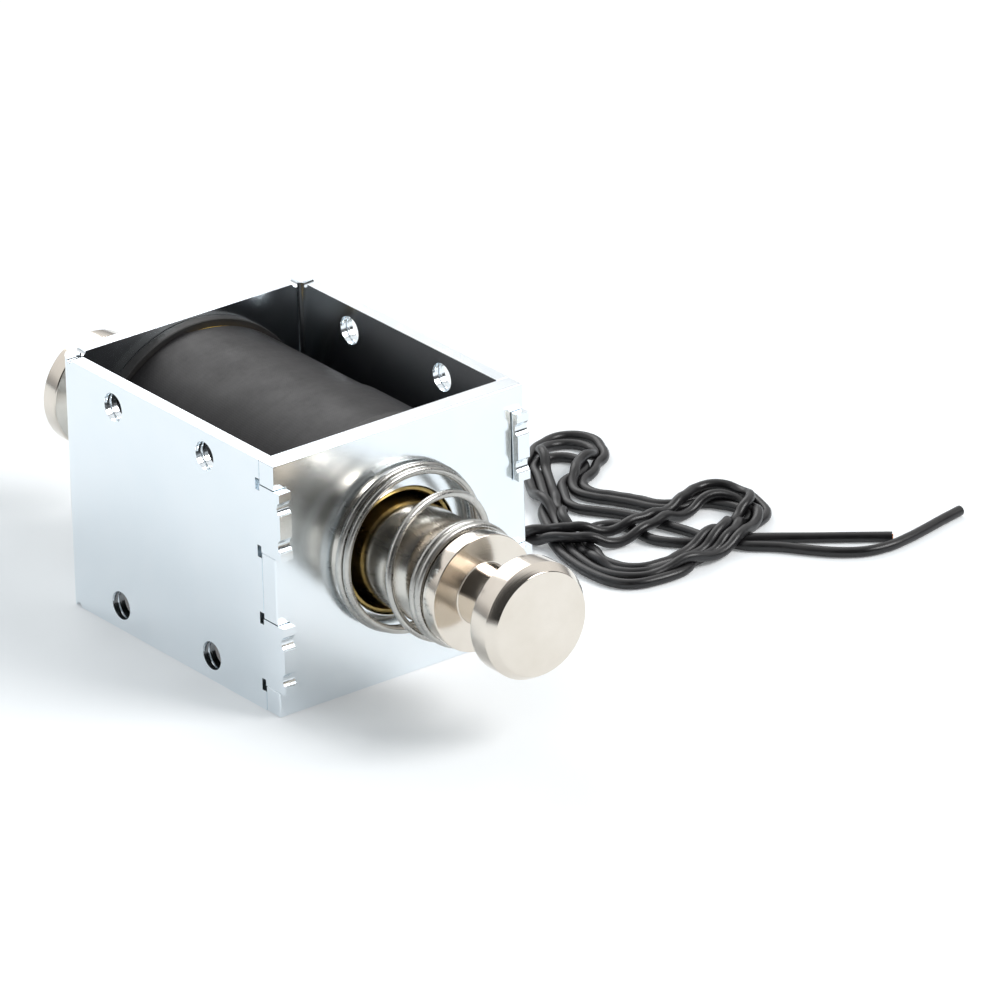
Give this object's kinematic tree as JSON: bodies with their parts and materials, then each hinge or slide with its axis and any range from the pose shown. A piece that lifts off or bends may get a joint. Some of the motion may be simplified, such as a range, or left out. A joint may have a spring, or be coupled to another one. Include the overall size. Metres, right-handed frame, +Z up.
{
  "type": "push-pull solenoid",
  "caption": "Open-frame linear solenoid: taped coil in a folded, staked steel frame, turned plunger with a grooved head and conical return spring, push rod with a round pad, loose leads.",
  "frame": {"origin": "on the ground, midway between the two ends of the moving train and on its axis in plan", "axes": "+Y along the plunger from the pull end to the push end, +Z up through the open top of the frame, +X towards the side plate with the lead slot"},
  "size_m": [0.0901, 0.0832, 0.03],
  "materials": {
    "zinc_steel": "bright zinc plate, satin",
    "nickel_steel": "bright nickel plate over fine turning marks",
    "ground_steel": "ground, lightly oiled",
    "core_steel": "turned, plated",
    "spring_steel": "drawn wire, dull grey",
    "brass": "drawn tube, slightly tarnished",
    "bronze": "sintered, oil filled",
    "bobbin_plastic": "moulded glass-filled nylon",
    "enamelled_copper": "enamelled round wire",
    "amber_film": "clear amber polyester tape",
    "black_tape": "black insulating tape with a soft sheen",
    "black_rubber": "moulded nitrile",
    "black_sleeving": "shrink sleeving",
    "black_insulation": "smooth extruded lead insulation"
  },
  "bodies": {
    "frame": {"left_side_plate": "zinc_steel", "right_side_plate": "zinc_steel", "pull_end_plate": "zinc_steel", "push_end_plate": "zinc_steel", "guide_tube": "brass", "bobbin": "bobbin_plastic", "winding": "enamelled_copper", "polyester_film": "amber_film", "cloth_tape": "black_tape", "tape_overlap": "black_tape", "fixed_core": "core_steel", "rod_bush": "bronze", "core_shim": "brass", "bumper_washer": "black_rubber", "return_spring": "spring_steel", "lead_sleeves": "black_sleeving", "lead_a": "black_insulation", "lead_b": "black_insulation", "wire_hank": "black_insulation", "tail_a": "black_insulation", "tail_b": "black_insulation"},
    "armature": {"plunger": "nickel_steel", "push_rod": "ground_steel", "retaining_ring": "spring_steel", "push_pad": "nickel_steel", "roll_pin": "spring_steel"}
  },
  "joints": [
    {"name": "plunger_slide", "type": "slide", "parent": "frame", "child": "armature", "axis": [0, 1, 0], "range_m": [0, 0.01], "stiffness_N_per_m": 150, "springref_m": -0.007, "deforming": ["return_spring"]}
  ]
}
